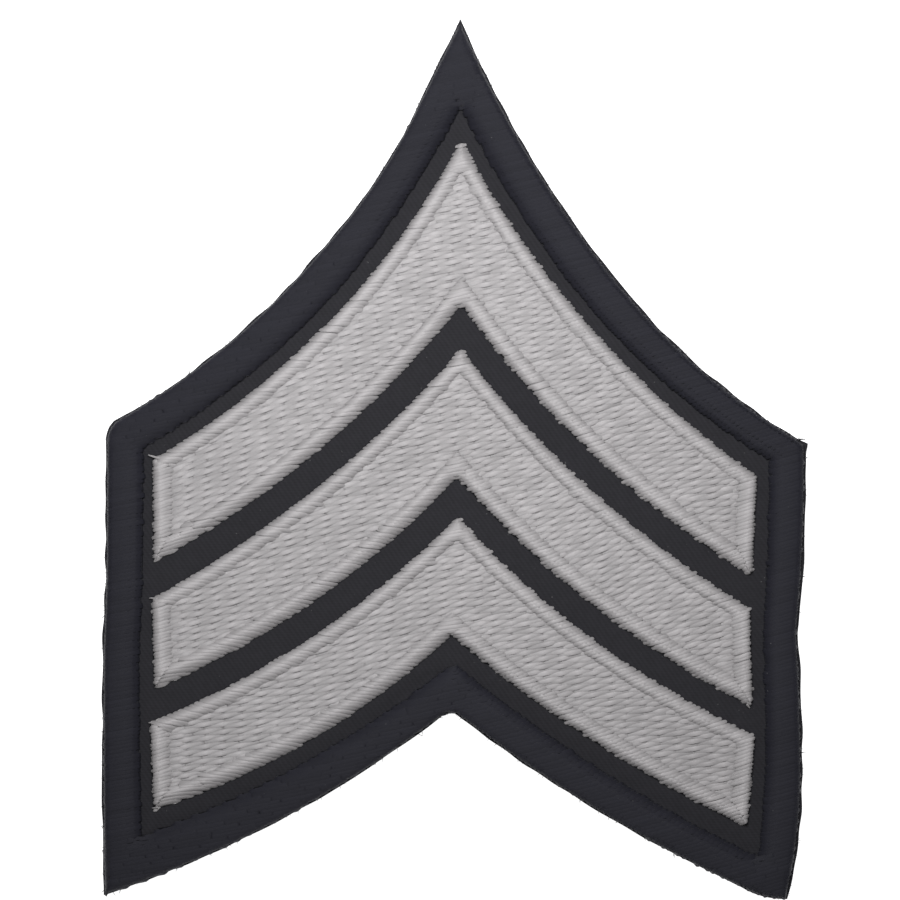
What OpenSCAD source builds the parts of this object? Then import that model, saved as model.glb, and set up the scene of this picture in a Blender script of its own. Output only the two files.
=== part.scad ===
// Embroidered patch with three chevrons that bend upwards, one above the other.
// It lies flat: X across, Y towards the point at the top, and the back rests on Z = 0.

/* [Patch] */
// Width over the two shoulders
patch_width = 81.2; // [60:0.1:100]
// Height from the feet to the point at the top
patch_height = 101.6; // [76:0.1:126]
// Thickness of the ground cloth with its backing
cloth_thick = 1; // [0.8:0.1:2]

/* [Border] */
// Height of the border's crest above the ground cloth
border_rise = 0.95; // [0.5:0.05:1.5]
// Height of the border at its cut outer edge
border_lip = 0.35; // [0.2:0.05:0.5]
// Bare margin of ground cloth outside the border
border_margin = 0.15; // [0.1:0.05:0.5]

/* [Chevrons] */
// Width of the edging along the upper side of a chevron
edging_over = 1.8; // [1.4:0.1:2.4]
// Width of the edging along the lower side of a chevron
edging_under = 2.1; // [1.4:0.1:2.4]
// Width of the edging across the ends of a chevron
edging_end = 2.2; // [1.4:0.1:2.4]
// Height of the edging's crest above the ground cloth
edging_rise = 0.9; // [0.5:0.05:1.5]
// Height of the edging at its two sides
edging_lip = 0.3; // [0.2:0.05:0.5]
// Height of the filling stitches above the ground cloth
fill_rise = 0.65; // [0.3:0.05:1]

/* [Fit] */
// Gap between a stitched layer and the cloth under it
layer_gap = 0.05; // [0.02:0.01:0.1]
// Gap between a fill and the edging round it
side_gap = 0.1; // [0.05:0.01:0.2]
// Straight steps in each long bowed edge
bow_steps = 12; // [8:2:16]

/* [Hidden] */

// The tables are in millimetres on the patch as it was drawn, and every point scales with the patch.
// A bow is how far the middle of the edge to the next corner leaves its chord, positive into the shape.
// The corners go round clockwise, seen from the front.

// Corner of the cut edge: x, y, bow of the edge to the next corner
OUTER = [
    [  0.7,  50.8,  1.0],  // point at the top
    [ 16.8,  23.2,  1.6],  // middle of the right arm
    [ 40.6,   1.8, -0.3],  // right shoulder
    [ 39.7, -20.0, -0.1],  // right waist
    [ 40.2, -35.0, -0.5],  // right hip
    [ 38.5, -50.8, -0.4],  // right foot
    [ 33.2, -49.4, -1.1],  // right sole
    [  0.1, -29.3,  0.0],  // notch, right of its middle
    [ -1.0, -29.3, -1.9],  // notch, left of its middle
    [-40.6, -50.4, -0.1],  // left foot
    [-40.7, -22.0,  0.0],  // left hip
    [-40.4, -14.0,  0.0],  // left waist
    [-40.3,   2.4, -0.2],  // left shoulder, below its rounding
    [-39.3,   4.4,  1.4],  // left shoulder, above its rounding
    [-15.4,  24.2,  0.8],  // middle of the left arm
    [ -3.9,  41.6,  0.0]   // neck of the left arm
];

// Corner of the border's inner edge: x, y, bow, matched row for row with OUTER
INNER = [
    [  0.8,  41.2,  0.6],
    [ 13.6,  20.6,  1.4],
    [ 36.8,   0.1, -0.2],
    [ 36.1, -20.0, -0.1],
    [ 36.4, -34.5, -0.1],
    [ 35.5, -46.3, -0.1],
    [ 32.6, -45.0, -1.1],
    [  0.2, -24.1,  0.0],
    [ -0.3, -24.1, -1.7],
    [-36.5, -44.0, -0.1],
    [-36.8, -22.0,  0.0],
    [-36.4, -14.0,  0.0],
    [-36.3,   1.0,  0.0],
    [-36.0,   1.7,  1.3],
    [-12.2,  21.5,  0.4],
    [ -1.4,  37.4,  0.0]
];

// Straight steps in the edge that follows each row of OUTER and INNER
BORDER_STEPS = [
    bow_steps / 2, bow_steps / 2, 3, 1, 3, 1, bow_steps, 1,
    bow_steps, 3, 1, 2, 2, bow_steps / 2, bow_steps / 2, 2
];

// Corner of a chevron: x, y, bow of the edge to the next corner
// Each chevron starts at its tip, then both corners of the right end, the crotch, and both of the left end.
TOP_CHEVRON = [
    [  0.8,  37.0,  3.1],
    [ 35.1,  -1.9,  0.0],
    [ 34.5, -13.6, -2.2],
    [  0.8,  17.8, -2.3],
    [-34.9, -12.0,  0.0],
    [-35.0,   0.0,  3.6]
];
MIDDLE_CHEVRON = [
    [  0.8,  12.8,  2.1],
    [ 34.3, -17.2,  0.0],
    [ 34.6, -28.7, -2.0],
    [  0.3,  -2.1, -2.3],
    [-34.8, -26.6,  0.0],
    [-35.1, -16.1,  2.0]
];
BOTTOM_CHEVRON = [
    [  0.4,  -6.6,  2.2],
    [ 34.9, -31.9,  0.0],
    [ 34.0, -42.6, -1.3],
    [ -0.3, -20.4, -2.2],
    [-34.9, -40.6,  0.0],
    [-35.3, -30.4,  2.2]
];

// Profile of the border, from its cut edge to its inner edge: share of the width, share of the rise
BORDER_PROFILE = [[0.00, 0.00], [0.12, 0.45], [0.40, 0.80], [0.70, 1.00], [0.88, 0.75], [1.00, 0.00]];
// Profile of the edging, across its width
EDGING_PROFILE = [[0.00, 0.00], [0.15, 0.60], [0.50, 1.00], [0.85, 0.60], [1.00, 0.00]];

// Straight steps in each edge of a chevron, whose ends are straight
CHEVRON_STEPS = [bow_steps, 1, bow_steps, bow_steps, 1, bow_steps];

stitch_base = cloth_thick + layer_gap;

function unit(v) = v / norm(v);
function turned(v, angle) = [v[0] * cos(angle) - v[1] * sin(angle), v[0] * sin(angle) + v[1] * cos(angle)];
// Square to a way, on its right hand
function right_of(v) = [v[1], -v[0]];
function at(corner) = [corner[0], corner[1]];
function after(list, i) = list[(i + 1) % len(list)];

// Points of a circular arc from a towards b, without b; its middle leaves the chord by the bow
function bowed_edge(a, b, bow, steps) =
    let (
        chord = norm(b - a),
        along = unit(b - a),
        depth = max(abs(bow), 0.001),
        radius = (chord * chord / 4 + depth * depth) / (2 * depth),
        half = asin(chord / (2 * radius)),
        side = right_of(along) * (bow < 0 ? -1 : 1)
    )
    [
        for (i = [0 : steps - 1])
            let (turn = half * (2 * i / steps - 1))
            a + along * (chord / 2 + radius * sin(turn)) + side * radius * (cos(turn) - cos(half))
    ];

// Closed loop of points through a table of corners
function loop_of(corners, steps) = [
    for (i = [0 : len(corners) - 1])
        each bowed_edge(at(corners[i]), at(after(corners, i)), corners[i][2], steps[i])
];

drawn_edge = loop_of(OUTER, BORDER_STEPS);
drawn_low = [min([for (p = drawn_edge) p[0]]), min([for (p = drawn_edge) p[1]])];
drawn_high = [max([for (p = drawn_edge) p[0]]), max([for (p = drawn_edge) p[1]])];
drawn_middle = (drawn_low + drawn_high) / 2;
growth = [
    patch_width / (drawn_high[0] - drawn_low[0]),
    patch_height / (drawn_high[1] - drawn_low[1])
];

// Table of corners at the patch's own size, centred on the patch's box
function placed(corners) = [
    for (c = corners)
        [
            (c[0] - drawn_middle[0]) * growth[0],
            (c[1] - drawn_middle[1]) * growth[1],
            c[2] * (growth[0] + growth[1]) / 2
        ]
];

// Angle between an edge's chord and the edge itself at either end
function end_angle(corners, i) =
    2 * atan(2 * corners[i][2] / norm(at(after(corners, i)) - at(corners[i])));
function way(corners, i) = unit(at(after(corners, i)) - at(corners[i]));

// Where two edges meet again once each has moved in by its own width
function moved_corner(point, way_in, way_out, width_in, width_out) =
    let (
        n_in = right_of(way_in),
        n_out = right_of(way_out),
        same = n_in * n_out
    )
    abs(same) > 0.9999
        ? point + n_out * width_out
        : point + (n_in * (width_in - same * width_out) + n_out * (width_out - same * width_in))
            / (1 - same * same);

// Table of corners with each edge moved in by its width, keeping the centre of its arc
function moved_in(corners, widths) =
    let (
        last = len(corners) - 1,
        points = [
            for (i = [0 : last])
                let (k = (i + last) % (last + 1))
                moved_corner(
                    at(corners[i]),
                    turned(way(corners, k), end_angle(corners, k)),
                    turned(way(corners, i), -end_angle(corners, i)),
                    widths[k],
                    widths[i]
                )
        ]
    )
    [
        for (i = [0 : last])
            let (
                old_chord = norm(at(after(corners, i)) - at(corners[i])),
                new_chord = norm(after(points, i) - points[i]),
                bend = 8 * corners[i][2] / (old_chord * old_chord)
            )
            [points[i][0], points[i][1], new_chord * new_chord * bend / (1 + bend * widths[i]) / 8]
    ];

function between(loop_a, loop_b, share) = [for (i = [0 : len(loop_a) - 1])
    loop_a[i] * (1 - share) + loop_b[i] * share];
function lifted(loop, z) = [for (p = loop) [p[0], p[1], z]];

// Closed ring of stitching between two matched loops: flat below, the profile above
module stitched_ring(outer, inner, lip, rise, profile) {
    n = len(outer);
    loops = concat(
        [lifted(inner, stitch_base), lifted(outer, stitch_base)],
        [for (p = profile) lifted(between(outer, inner, p[0]), cloth_thick + lip + (rise - lip) * p[1])]
    );
    m = len(loops);
    points = [for (loop = loops) each loop];
    faces = [
        for (k = [0 : m - 1], i = [0 : n - 1])
            let (k2 = (k + 1) % m, i2 = (i + 1) % n)
            each [
                [k * n + i, k * n + i2, k2 * n + i2],
                [k * n + i, k2 * n + i2, k2 * n + i]
            ]
    ];
    polyhedron(points = points, faces = faces, convexity = 6);
}

// Width of the edging along each edge of a chevron, and a gap
function edging_widths(gap) = [
    for (side = [edging_over, edging_end, edging_under, edging_under, edging_end, edging_over]) side + gap
];

module ground_cloth() {
    color("#26262b")
        linear_extrude(height = cloth_thick)
            polygon(loop_of(placed(OUTER), BORDER_STEPS));
}

module border() {
    margins = [for (c = OUTER) border_margin];
    outer = loop_of(moved_in(placed(OUTER), margins), BORDER_STEPS);
    inner = loop_of(placed(INNER), BORDER_STEPS);
    color("#303038")
        stitched_ring(outer, inner, border_lip, border_rise, BORDER_PROFILE);
}

module chevron_edging(corners) {
    outer = loop_of(placed(corners), CHEVRON_STEPS);
    inner = loop_of(moved_in(placed(corners), edging_widths(0)), CHEVRON_STEPS);
    color("#c4c3c6")
        stitched_ring(outer, inner, edging_lip, edging_rise, EDGING_PROFILE);
}

module chevron_fill(corners) {
    field = moved_in(placed(corners), edging_widths(side_gap));
    color("#aaa9ad")
        translate([0, 0, stitch_base])
            linear_extrude(height = fill_rise - layer_gap)
                polygon(loop_of(field, CHEVRON_STEPS));
}

module top_chevron_edging() { chevron_edging(TOP_CHEVRON); }
module top_chevron_fill() { chevron_fill(TOP_CHEVRON); }
module middle_chevron_edging() { chevron_edging(MIDDLE_CHEVRON); }
module middle_chevron_fill() { chevron_fill(MIDDLE_CHEVRON); }
module bottom_chevron_edging() { chevron_edging(BOTTOM_CHEVRON); }
module bottom_chevron_fill() { chevron_fill(BOTTOM_CHEVRON); }

ground_cloth();
border();
top_chevron_edging();
top_chevron_fill();
middle_chevron_edging();
middle_chevron_fill();
bottom_chevron_edging();
bottom_chevron_fill();
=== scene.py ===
"""Embroidered patch with three chevrons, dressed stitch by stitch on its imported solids.

Tables and stitch sizes are in millimetres; meshes are made in metres. The patch lies flat:
X across, Y towards the point at the top, Z out of the embroidered front.
"""

import math

import bpy
import numpy as np
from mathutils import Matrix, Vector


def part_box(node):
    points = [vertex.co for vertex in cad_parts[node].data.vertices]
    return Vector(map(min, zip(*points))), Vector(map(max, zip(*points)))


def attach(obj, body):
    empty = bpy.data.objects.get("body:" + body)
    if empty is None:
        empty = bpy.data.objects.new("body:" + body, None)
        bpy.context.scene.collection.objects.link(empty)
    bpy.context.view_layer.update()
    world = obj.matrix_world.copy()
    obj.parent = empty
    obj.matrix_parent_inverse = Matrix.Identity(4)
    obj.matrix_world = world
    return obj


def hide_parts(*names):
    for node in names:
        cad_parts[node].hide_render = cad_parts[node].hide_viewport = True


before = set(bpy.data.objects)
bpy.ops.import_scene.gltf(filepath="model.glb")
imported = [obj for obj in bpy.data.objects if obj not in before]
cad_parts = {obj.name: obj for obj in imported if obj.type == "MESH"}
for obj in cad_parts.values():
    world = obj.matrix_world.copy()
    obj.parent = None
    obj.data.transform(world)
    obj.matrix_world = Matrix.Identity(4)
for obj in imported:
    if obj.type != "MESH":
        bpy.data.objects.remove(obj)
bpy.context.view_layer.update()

MM = 0.001

# Seeds of the random draws; each chevron below the top one adds 1
CLOTH_SEED = 11
BORDER_SEED = 21
EDGING_SEED = 31
FIELD_SEED = 41


# Camera: straight above the patch, on a long lens

VIEW_WIDTH = 104.05  # of the stitched face, across the whole picture
VIEW_MIDDLE = (-0.43, 1.08)
SEEN_HEIGHT = 1.3  # height of the face that fills this width
LENS = 135.0
SENSOR = 36.0

camera_data = bpy.data.cameras.new("camera")
camera_data.lens = LENS
camera_data.sensor_width = SENSOR
camera_data.clip_start = 0.01
camera_data.clip_end = 10.0
camera = bpy.data.objects.new("camera", camera_data)
camera.location = (
    VIEW_MIDDLE[0] * MM,
    VIEW_MIDDLE[1] * MM,
    (SEEN_HEIGHT + VIEW_WIDTH * LENS / SENSOR) * MM,
)
bpy.context.scene.collection.objects.link(camera)
bpy.context.scene.camera = camera


# The drawing: corners go round clockwise, and a bow is how far the middle of the edge to the
# next corner leaves its chord, positive into the shape

# Cut edge: x, y, bow
OUTER = [
    [0.7, 50.8, 1.0],  # point at the top
    [16.8, 23.2, 1.6],  # middle of the right arm
    [40.6, 1.8, -0.3],  # right shoulder
    [39.7, -20.0, -0.1],  # right waist
    [40.2, -35.0, -0.5],  # right hip
    [38.5, -50.8, -0.4],  # right foot
    [33.2, -49.4, -1.1],  # right sole
    [0.1, -29.3, 0.0],  # notch, right of its middle
    [-1.0, -29.3, -1.9],  # notch, left of its middle
    [-40.6, -50.4, -0.1],  # left foot
    [-40.7, -22.0, 0.0],  # left hip
    [-40.4, -14.0, 0.0],  # left waist
    [-40.3, 2.4, -0.2],  # left shoulder, below its rounding
    [-39.3, 4.4, 1.4],  # left shoulder, above its rounding
    [-15.4, 24.2, 0.8],  # middle of the left arm
    [-3.9, 41.6, 0.0],  # neck of the left arm
]

# Border's inner edge: x, y, bow, matched row for row with OUTER
INNER = [
    [0.8, 41.2, 0.6],
    [13.6, 20.6, 1.4],
    [36.8, 0.1, -0.2],
    [36.1, -20.0, -0.1],
    [36.4, -34.5, -0.1],
    [35.5, -46.3, -0.1],
    [32.6, -45.0, -1.1],
    [0.2, -24.1, 0.0],
    [-0.3, -24.1, -1.7],
    [-36.5, -44.0, -0.1],
    [-36.8, -22.0, 0.0],
    [-36.4, -14.0, 0.0],
    [-36.3, 1.0, 0.0],
    [-36.0, 1.7, 1.3],
    [-12.2, 21.5, 0.4],
    [-1.4, 37.4, 0.0],
]

# Chevrons: tip, both corners of the right end, crotch, both corners of the left end
CHEVRONS = {
    "top_chevron": [
        [0.8, 37.0, 3.1],
        [35.1, -1.9, 0.0],
        [34.5, -13.6, -2.2],
        [0.8, 17.8, -2.3],
        [-34.9, -12.0, 0.0],
        [-35.0, 0.0, 3.6],
    ],
    "middle_chevron": [
        [0.8, 12.8, 2.1],
        [34.3, -17.2, 0.0],
        [34.6, -28.7, -2.0],
        [0.3, -2.1, -2.3],
        [-34.8, -26.6, 0.0],
        [-35.1, -16.1, 2.0],
    ],
    "bottom_chevron": [
        [0.4, -6.6, 2.2],
        [34.9, -31.9, 0.0],
        [34.0, -42.6, -1.3],
        [-0.3, -20.4, -2.2],
        [-34.9, -40.6, 0.0],
        [-35.3, -30.4, 2.2],
    ],
}

# Share of a band's width, from its outer side, and share of its rise
BORDER_PROFILE = [
    [0.0, -0.4], [0.04, 0.6], [0.10, 0.88], [0.22, 0.96],
    [0.48, 1.0], [0.68, 0.9], [0.84, 0.5], [1.0, -0.4],
]
EDGING_PROFILE = [
    [0.0, -0.3], [0.06, 0.2], [0.18, 0.55], [0.38, 0.90],
    [0.54, 1.0], [0.80, 0.80], [1.0, 0.56],
]

# Share of the width where the crest lies; an edging's goes along each edge, in table order
BORDER_CREST = 0.48
EDGING_CRESTS = [0.54, 0.36, 0.54, 0.64, 0.42, 0.50]
CREST_REACH = 0.22  # share of the width over which the crest fades

EDGING_WIDTHS = [1.8, 2.2, 2.1, 2.1, 2.2, 1.8]  # along each edge of a chevron, in table order
EDGING_FRAYS = [0.07, 0.09, 0.11, 0.03, 0.08, 0.03]  # how unevenly its stitches end on its outer side
BORDER_MARGIN = 0.04  # bare cloth outside the border
BORDER_SPREAD = 0.3  # how far its stitches pass its inner edge
BORDER_LIP = 0.35  # height of the border at its two sides, above the cloth
EDGING_LIP = 0.3
ARC_STEP = 0.8  # length of the straight steps that stand for an arc
FLATTEST_BOW = 0.001  # of the arc that stands for a straight edge
NEARLY_STRAIGHT = 0.9999  # cosine of the turn at a corner where the edges hardly turn
LEAST_WIDTH = 1e-6  # of a band, so that a share of it can be worked out


def box_mm(node):
    """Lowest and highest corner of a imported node, in millimetres."""
    low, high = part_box(node)
    return np.array(low) / MM, np.array(high) / MM


cloth_low, cloth_high = box_mm("ground_cloth")
CLOTH_TOP = cloth_high[2]
BORDER_TOP = box_mm("border")[1][2]
EDGING_TOP = box_mm("top_chevron_edging")[1][2]
FILL_TOP = box_mm("top_chevron_fill")[1][2]


def steps_of(corners, step=ARC_STEP):
    """Number of straight steps in the edge after each corner: its chord over the step, at least one."""
    xy = np.array(corners)[:, :2]
    chord = np.linalg.norm(np.roll(xy, -1, axis=0) - xy, axis=1)
    return np.maximum(1, np.round(chord / step)).astype(int)


def bowed_edge(a, b, bow, steps):
    """Points of a circular arc from a towards b, without b.

    With chord c and half angle h, a point at turn t is c/2 + r sin t along the chord and
    r (cos t - cos h) to its side, where r = (c^2 / 4 + bow^2) / (2 bow) and t goes from -h to h.
    """
    a, b = np.array(a), np.array(b)
    chord = np.linalg.norm(b - a)
    along = (b - a) / chord
    depth = max(abs(bow), FLATTEST_BOW)
    radius = (chord * chord / 4 + depth * depth) / (2 * depth)
    half = math.asin(min(1.0, chord / (2 * radius)))
    side = np.array([along[1], -along[0]]) * (-1 if bow < 0 else 1)
    turn = half * (2 * np.arange(steps) / steps - 1)
    forward = np.outer(chord / 2 + radius * np.sin(turn), along)
    return a + forward + np.outer(radius * (np.cos(turn) - math.cos(half)), side)


def loop_of(corners, steps):
    """Closed loop of points through a table of corners, an arc for each edge."""
    after = corners[1:] + corners[:1]
    edges = [bowed_edge(c[:2], d[:2], c[2], n) for c, d, n in zip(corners, after, steps)]
    return np.concatenate(edges)


drawn = loop_of(OUTER, steps_of(OUTER))
DRAWN_MIDDLE = (drawn.min(axis=0) + drawn.max(axis=0)) / 2
GROWTH = (cloth_high - cloth_low)[:2] / (drawn.max(axis=0) - drawn.min(axis=0))


def placed(corners):
    """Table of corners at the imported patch's own size, centred on its box."""
    return [
        [*((np.array(c[:2]) - DRAWN_MIDDLE) * GROWTH), c[2] * GROWTH.mean()]
        for c in corners
    ]


def moved_in(corners, widths):
    """Table of corners with each edge moved in by its own width.

    Each arc keeps its centre, so the new corners are where the moved tangents meet, and the new
    bow is k c^2 / (8 (1 + k w)), with k the old arc's bend, 8 bow / c^2, and c the new chord.
    """
    points = np.array(corners)[:, :2]
    chords = np.roll(points, -1, axis=0) - points
    lengths = np.linalg.norm(chords, axis=1)
    bows = np.array(corners)[:, 2]
    widths = np.array(widths, float)
    turn = 2 * np.arctan(2 * bows / lengths)
    heading = np.arctan2(chords[:, 1], chords[:, 0])
    way_out = heading - turn
    way_in = np.roll(heading + turn, 1)
    normal_out = np.stack([np.sin(way_out), -np.cos(way_out)], axis=1)
    normal_in = np.stack([np.sin(way_in), -np.cos(way_in)], axis=1)
    width_in = np.roll(widths, 1)
    same = (normal_in * normal_out).sum(axis=1)
    nearly = np.abs(same) > NEARLY_STRAIGHT
    scale = 1 - np.where(nearly, 0.0, same) ** 2
    meeting = (
        normal_in * (width_in - same * widths)[:, None]
        + normal_out * (widths - same * width_in)[:, None]
    ) / scale[:, None]
    new = points + np.where(nearly[:, None], normal_out * widths[:, None], meeting)
    new_chord = np.linalg.norm(np.roll(new, -1, axis=0) - new, axis=1)
    bend = 8 * bows / lengths**2
    new_bow = new_chord**2 * bend / (1 + bend * widths) / 8
    return [[*p, b] for p, b in zip(new.tolist(), new_bow.tolist())]


def distance_to(points, loop, batch=4000):
    """Each point's distance to a closed loop, the number of its nearest step, and if it is inside.

    The loop goes round clockwise, so a point inside lies to the right of its nearest step. Where
    a corner is nearest, the normals of the two steps that meet there are added. The points are
    taken in batches, to save memory.
    """
    start, way = loop, np.roll(loop, -1, axis=0) - loop
    square = (way**2).sum(axis=1)
    far, step = [], []
    for first in range(0, len(points), batch):
        to = points[first : first + batch, None, :] - start
        share = np.clip((to * way).sum(axis=2) / square, 0, 1)
        each = np.sqrt(((to - share[..., None] * way) ** 2).sum(axis=2))
        far.append(each.min(axis=1))
        step.append(each.argmin(axis=1))
    far, step = np.concatenate(far), np.concatenate(step)
    to = points - start[step]
    share = np.clip((to * way[step]).sum(axis=1) / square[step], 0, 1)
    left = np.stack([-way[:, 1], way[:, 0]], axis=1) / np.sqrt(square)[:, None]
    beside = (step + (share >= 1) - (share <= 0)) % len(loop)
    off = to - share[:, None] * way[step]
    inside = (off * (left[step] + left[beside])).sum(axis=1) <= 0
    return far, step, inside


def band_height(points, outer, inner, profile, crests, low, high):
    """Height over a band at each point, and how near the point is to the band's crest.

    The share of the width is d_outer / (d_outer + d_inner), each 0 beyond its side of the band,
    raised to log p / log q, where p is the profile's own crest and q the crest's place at the
    nearest step of the outer loop. The height is the profile there, and the nearness is
    exp(-((share - p) / CREST_REACH)^2).
    """
    d_outer, step, inside = distance_to(points, outer)
    d_inner, _, beyond = distance_to(points, inner)
    d_outer = np.where(inside, d_outer, 0.0)
    d_inner = np.where(beyond, 0.0, d_inner)
    table = np.array(profile)
    crest = table[table[:, 1].argmax(), 0]
    share = d_outer / np.maximum(d_outer + d_inner, LEAST_WIDTH)
    share = share ** (math.log(crest) / np.log(crests[step]))
    height = low + (high - low) * np.interp(share, table[:, 0], table[:, 1])
    return height, np.exp(-(((share - crest) / CREST_REACH) ** 2))


# Stitches: rows climb over the patch, and stitches are runs of a row between needle holes


class Rows:
    """A family of rows, each at y = v + climb(x), whose slope follows a table of x and angle."""

    REACH = 45.0  # how far the rows go to each side
    GRID = 361  # places where their climb is worked out
    CROSSINGS = 8  # most crossings of one row with the loops

    def __init__(self, angles, spacing, shortest):
        table = np.array(angles, float)
        self.x = np.linspace(-self.REACH, self.REACH, self.GRID)
        self.tan = np.tan(np.radians(np.interp(self.x, table[:, 0], table[:, 1])))
        steps = (self.tan[1:] + self.tan[:-1]) / 2 * np.diff(self.x)
        self.y = np.concatenate([[0.0], np.cumsum(steps)])
        self.y -= np.interp(0.0, self.x, self.y)
        self.spacing = spacing
        self.shortest = shortest

    def climb(self, x):
        """How far a row has climbed at x."""
        return np.interp(x, self.x, self.y)

    def slope(self, x):
        """Tangent of the row's angle at x."""
        return np.interp(x, self.x, self.tan)

    def runs(self, loops):
        """First x, last x, v, number and both leans of every run of a row inside the loops.

        Each loop is sheared by the climb, so that rows are level, and a row runs from its first
        to its second crossing with the loops, from its third to its fourth, and so on. The lean
        is how far the loop moves along x for each step of v, where the run meets it.
        """
        a = np.concatenate(loops)
        b = np.concatenate([np.roll(loop, -1, axis=0) for loop in loops])
        ya, yb = a[:, 1] - self.climb(a[:, 0]), b[:, 1] - self.climb(b[:, 0])
        lowest, highest = ya.min() / self.spacing, ya.max() / self.spacing
        number = np.arange(math.ceil(lowest), math.floor(highest) + 1)
        v = number[:, None] * self.spacing
        crossing = (ya <= v) != (yb <= v)
        rise = np.where(crossing, yb - ya, 1.0)
        x = np.where(crossing, a[:, 0] + (v - ya) * (b[:, 0] - a[:, 0]) / rise, np.inf)
        order = np.argsort(x, axis=1)[:, : self.CROSSINGS]
        x = np.take_along_axis(x, order, axis=1)
        lean = np.where(crossing, (b[:, 0] - a[:, 0]) / rise, 0.0)
        lean = np.take_along_axis(lean, order, axis=1)
        first, last = x[:, 0::2], x[:, 1::2]
        inside = np.isfinite(last) & (last - first > self.shortest)
        v = np.broadcast_to(v, first.shape)
        number = np.broadcast_to(number[:, None], first.shape)
        found = (first, last, v, number, lean[:, 0::2], lean[:, 1::2])
        return [each[inside] for each in found]


SHORTEST_PIECE = 0.05  # a piece of a run that is shorter is no stitch
SPARE_COLUMNS = 3  # needle columns beyond the rows' reach
HOLE_JITTER = 0.06  # of the holes inside a satin run, as a share of a stitch


def field_stitches(runs, stitch, rng):
    """Cuts runs at needle columns, a stitch apart; those of odd rows stand halfway between.

    A column's x is (j + 1/2 for odd rows) * length + lean * v, with some jitter. A column nearer
    than the shortest stitch to an end of its run moves to that end.
    """
    first, last, v, number = (r[:, None] for r in runs[:4])
    length, shortest = stitch["length"], stitch["shortest"]
    reach = int(Rows.REACH / length) + SPARE_COLUMNS
    column = np.arange(-reach, reach + 1) + 0.5 * (number % 2)
    strays = rng.normal(0, stitch["column_jitter"], column.shape)
    needle = column * length + stitch["lean"] * v + strays
    needle = np.where(needle < first + shortest, first, needle)
    needle = np.where(needle > last - shortest, last, needle)
    a, b = needle[:, :-1], needle[:, 1:]
    keep = b - a > SHORTEST_PIECE
    return a[keep], b[keep], np.broadcast_to(v, a.shape)[keep]


def satin_stitches(runs, longest, rng):
    """Each run is one stitch from side to side, and a run over the longest is cut in equal ones.

    Hole j of n stitches stands at the share j / n of its run. In odd rows it stands half a
    stitch back, so that the holes alternate as in brickwork.
    """
    first, last, v, number, lean_first, lean_last = (r[:, None] for r in runs)
    count = np.ceil((last - first) / longest)
    shift = np.where(count > 1, 0.5 * (number % 2), 0.0)
    hole = np.arange(int(count.max()) + 2) - shift
    share = np.clip(hole / count, 0, 1)
    inside = (share > 0) & (share < 1)
    share = share + inside * rng.normal(0, HOLE_JITTER, share.shape) / count
    x = first + (last - first) * share
    a, b = x[:, :-1], x[:, 1:]
    keep = b - a > SHORTEST_PIECE
    lean_a = np.where(share[:, :-1] <= 0, lean_first, 0.0)
    lean_b = np.where(share[:, 1:] >= 1, lean_last, 0.0)
    return a[keep], b[keep], np.broadcast_to(v, a.shape)[keep], lean_a[keep], lean_b[keep]


# Strands: shares of a stitch's or a fibre's length where its sections stand
BORDER_STATIONS = [0.0, 0.035, 0.08, 0.2, 0.4, 0.6, 0.8, 0.93, 1.0]
EDGING_STATIONS = [0.0, 0.05, 0.19, 0.39, 0.61, 0.81, 0.95, 1.0]
FIELD_STATIONS = [0.0, 0.07, 0.33, 0.5, 0.67, 0.93, 1.0]
FIBRE_STATIONS = np.linspace(0, 1, 6)

AROUND_ANGLES = np.radians([-90, -45, 0, 45, 90, 180])  # points round a strand, from straight up
AROUND = len(AROUND_ANGLES)
UNDERSIDE = 0.5  # a strand is flatter below its middle by this factor
TIP_SHARE = 0.45  # most of a stitch that one of its tips takes up
TIP_POWER = 0.7  # how bluntly a stitch swells out of its hole
LEAST_RISE = 0.2  # share of its rise that the shortest stitch keeps
LEAN_REACH = 0.6  # how far from its end a stitch leans with the edge there
MOST_LEAN = 1.3  # along x, for each step of v
FIBRE_TAPER = 0.8  # share of its section that a fibre loses from start to end

# Baking map: a cell for each strand, above a strip for the solid under them
BASE_SHARE = 0.16  # of the map's height, for the solid
BASE_EDGE = 0.01  # bare edge round the solid's strip
CELL_EDGE = 0.06  # bare share of a cell on each side of its strand
CELL_SHAPE = 3.5  # lines of cells for each column of them
CAP_WIDTH = 0.03  # of a strand's end caps, as a share of its length
BASE_LENGTH = 100.0  # of the solid, on the thread's map


# Meshes are gathered from parts. A part has points, quads and triangles, two maps for their
# corners, and three values for each point: own, which is the same all over a strand; arch, how
# near it is to the highest place of its stitch or its band's crest, where the silver thread is
# painted lighter as a highlight; and body, 0 at a needle hole and 1 away from it, where near 0
# the black thread is painted darker, as shade


def plain_values(count):
    """The three values of each point of a part that has no strands."""
    # Arch 0 lies below the plain arch, so a silver bed or padding under the stitches is painted darker,
    # as shade between the stitches
    return {"own": np.full(count, 0.5), "arch": np.zeros(count), "body": np.ones(count)}


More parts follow.
